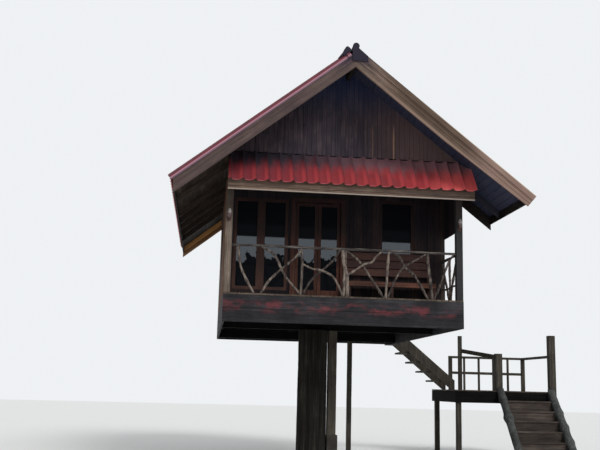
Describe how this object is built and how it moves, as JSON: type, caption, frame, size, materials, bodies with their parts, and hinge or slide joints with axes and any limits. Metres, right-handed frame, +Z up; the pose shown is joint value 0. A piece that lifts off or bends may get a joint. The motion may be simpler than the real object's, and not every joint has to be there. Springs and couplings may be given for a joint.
{
  "type": "stilt house",
  "caption": "Timber cabin on a single trunk pier, with a gable roof, a tiled pent roof over its veranda, a branch-work railing, glazed doors and stairs round a landing.",
  "frame": {"origin": "on the ground under the middle of the trunk pier", "axes": "+Z up, +Y from the veranda front to the back of the house, +X to the right seen from the front"},
  "size_m": [9.5919, 8.1194, 8.0209],
  "materials": {
    "dark_timber": "dark weathered timber, dry and rough",
    "pier_bark": "near-black furrowed trunk",
    "concrete": "stained concrete block",
    "deck_boards": "worn deck boards",
    "edge_boards": "grey-brown planks with faded red paint",
    "pale_timber": "sun-bleached grey-brown timber",
    "branches": "peeled dry branches",
    "red_brown_boards": "red-brown stained boards",
    "red_brown_joinery": "red-brown joinery, worn varnish",
    "bench_wood": "orange-brown varnished slats",
    "glass": "clear window glass",
    "lamp_glass": "frosted lamp glass, dusty",
    "soffit_boards": "brown boarding",
    "roof_tile": "red painted tile, dirty toward the top",
    "ridge_tile": "dark weathered ridge tile",
    "barge_wood": "pinkish-grey weathered board",
    "rear_barge_wood": "orange-brown board"
  },
  "bodies": {
    "house": {"trunk_pier": "pier_bark", "side_post": "dark_timber", "side_post_footing": "concrete", "rear_post": "dark_timber", "floor_beams": "dark_timber", "floor_joists": "dark_timber", "floor_boards": "deck_boards", "deck_edge_front": "edge_boards", "deck_edge_sides": "edge_boards", "veranda_frame": "pale_timber", "front_railing": "branches", "side_railings": "branches", "post_lamps": "lamp_glass", "bench": "bench_wood", "veranda_side_boards": "dark_timber", "front_wall_left": "red_brown_boards", "front_wall_right": "red_brown_boards", "front_wall_over_door": "red_brown_boards", "left_wall": "red_brown_boards", "right_wall": "red_brown_boards", "rear_wall_left": "red_brown_boards", "rear_wall_right": "red_brown_boards", "rear_wall_over_door": "red_brown_boards", "door_frame": "red_brown_joinery", "window_frames": "red_brown_joinery", "window_glass": "glass", "roof_beams": "dark_timber", "rafters": "dark_timber", "roof_boards": "soffit_boards", "roof_tiles_left": "roof_tile", "roof_tiles_right": "roof_tile", "ridge_caps": "ridge_tile", "verge_caps": "ridge_tile", "eave_end_board": "dark_timber", "bargeboards_front": "barge_wood", "bargeboards_rear": "rear_barge_wood", "eave_boards": "barge_wood", "gable_panel": "dark_timber", "pent_roof_tiles": "roof_tile", "pent_fascia": "pale_timber", "back_platform": "deck_boards", "upper_flight": "dark_timber", "landing_deck": "deck_boards", "landing_posts": "dark_timber", "landing_rails": "dark_timber", "lower_stringers": "pale_timber", "lower_treads": "bench_wood"},
    "door_left": {"door_leaf_left": "red_brown_joinery", "door_glass_left": "glass"},
    "door_right": {"door_leaf_right": "red_brown_joinery", "door_glass_right": "glass"}
  },
  "joints": [
    {"name": "left_door_hinge", "type": "hinge", "parent": "house", "child": "door_left", "pos_m": [-0.521, -0.82, 4.3], "axis": [0, 0, 1], "range_deg": [0, 90]},
    {"name": "right_door_hinge", "type": "hinge", "parent": "house", "child": "door_right", "pos_m": [0.416, -0.82, 4.3], "axis": [0, 0, -1], "range_deg": [0, 90]}
  ]
}
